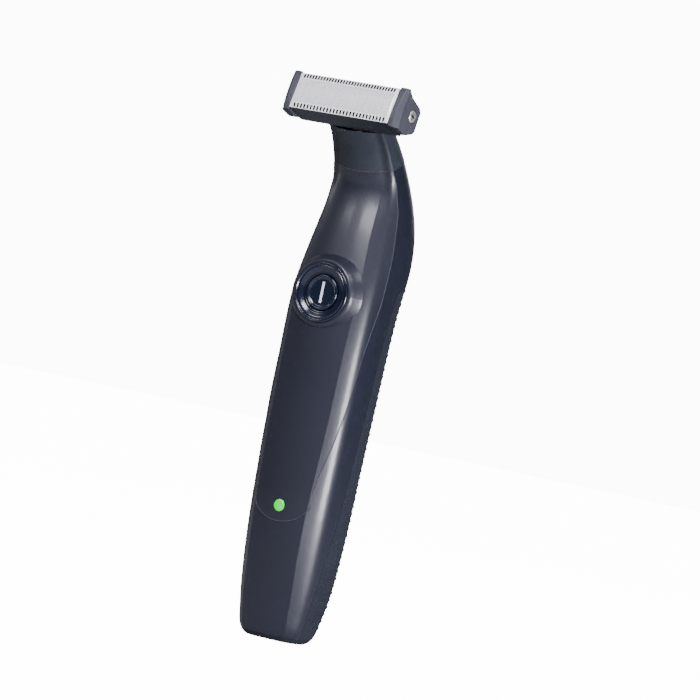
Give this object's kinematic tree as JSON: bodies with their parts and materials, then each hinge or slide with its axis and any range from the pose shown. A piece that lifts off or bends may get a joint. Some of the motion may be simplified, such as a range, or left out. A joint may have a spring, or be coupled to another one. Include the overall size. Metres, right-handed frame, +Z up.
{
  "type": "body groomer",
  "caption": "Cordless groomer with a bent neck and a wide, tilting, clip-on foil head driven by a motor, crank and rocker; round power button.",
  "frame": {"origin": "centre of the flat base that it stands on", "axes": "+Z up along the handle, -Y towards the side that the button and foil face, +X to the side"},
  "size_m": [0.0382, 0.0444, 0.1587],
  "materials": {
    "navy_gloss": "gloss, deep navy",
    "navy_satin": "satin, deep navy",
    "soft_grip": "matte, finely textured",
    "charcoal": "satin, charcoal",
    "cap_grey": "satin, grey blue",
    "trough_dark": "satin, dark slate",
    "bezel_gloss": "high gloss, near black navy",
    "mark_white": "printed, white",
    "black_plastic": "fine texture, black",
    "white_plastic": "glass filled, off white",
    "black_rubber": "matte, black",
    "light_green": "clear, lit green",
    "chip_light": "cast, pale yellow",
    "board_green": "solder mask, green",
    "chip_black": "moulded, black",
    "socket_steel": "drawn, bright",
    "nickel": "nickel plated",
    "cell_wrap": "shrink wrap, blue",
    "motor_steel": "drawn, satin",
    "magnet_grey": "sintered, dark grey",
    "armature_copper": "lacquered windings",
    "screw_steel": "bright zinc",
    "pin_steel": "ground",
    "foil_steel": "etched, bright",
    "blade_steel": "ground",
    "acetal": "smooth, natural white"
  },
  "bodies": {
    "handle": {"base_cap": "soft_grip", "main_shell": "navy_gloss", "front_panel": "navy_satin", "back_grip": "soft_grip", "neck_shell": "charcoal", "button_bezel": "bezel_gloss", "button_seal": "black_rubber", "tact_switch": "chip_black", "light_lens": "light_green", "charge_light": "chip_light", "circuit_board": "board_green", "board_chips": "chip_black", "charge_socket": "socket_steel", "socket_tongue": "black_plastic", "port_board": "board_green", "battery_cell": "cell_wrap", "battery_tabs": "nickel", "chassis": "black_plastic", "frame_screws": "screw_steel", "motor_can": "motor_steel", "motor_end_cap": "white_plastic", "motor_magnets": "magnet_grey", "motor_terminals": "nickel", "drive_frame": "black_plastic", "motor_screws": "screw_steel", "rocker_pin": "pin_steel", "neck_socket": "black_plastic", "neck_seal": "black_rubber"},
    "power_button": {"button_cap": "bezel_gloss", "button_mark": "mark_white", "switch_plunger": "white_plastic"},
    "motor_rotor": {"motor_shaft": "pin_steel", "motor_armature": "armature_copper", "crank": "acetal"},
    "rocker": {"drive_rocker": "acetal"},
    "head_mount_body": {"head_mount": "charcoal", "tilt_pins": "pin_steel"},
    "head_frame": {"head_housing": "trough_dark", "end_cap_left": "cap_grey", "end_cap_right": "cap_grey", "end_cap_screws": "screw_steel", "foil_sheet": "foil_steel"},
    "cutter": {"inner_cutter": "blade_steel", "cutter_carrier": "black_plastic", "cutter_springs": "nickel"}
  },
  "joints": [
    {"name": "button_press", "type": "slide", "parent": "handle", "child": "power_button", "axis": [0, 1, 0], "range_m": [0, 0.0003], "stiffness_N_per_m": 500},
    {"name": "rotor_spin", "type": "hinge", "parent": "handle", "child": "motor_rotor", "pos_m": [0, 0.004, 0.1], "axis": [0, 0, 1], "continuous": true},
    {"name": "rocker_swing", "type": "hinge", "parent": "handle", "child": "rocker", "pos_m": [0, 0.001, 0.132], "axis": [0, 0.9781, 0.2079], "range_deg": [-2.45, 2.45]},
    {"name": "head_release", "type": "slide", "parent": "handle", "child": "head_mount_body", "axis": [0, -0.7431, 0.6691], "range_m": [0, 0.018]},
    {"name": "head_tilt", "type": "hinge", "parent": "head_mount_body", "child": "head_frame", "pos_m": [0, -0.0155, 0.15135], "axis": [1, 0, 0], "range_deg": [-10, 10], "stiffness_Nm_per_rad": 0.02},
    {"name": "cutter_slide", "type": "slide", "parent": "head_frame", "child": "cutter", "axis": [1, 0, 0], "range_m": [-0.00095, 0.00095]}
  ],
  "couplings": [
    {"joint": "rocker_swing", "follows": "cutter_slide", "rad_per_m": 44.727}
  ]
}
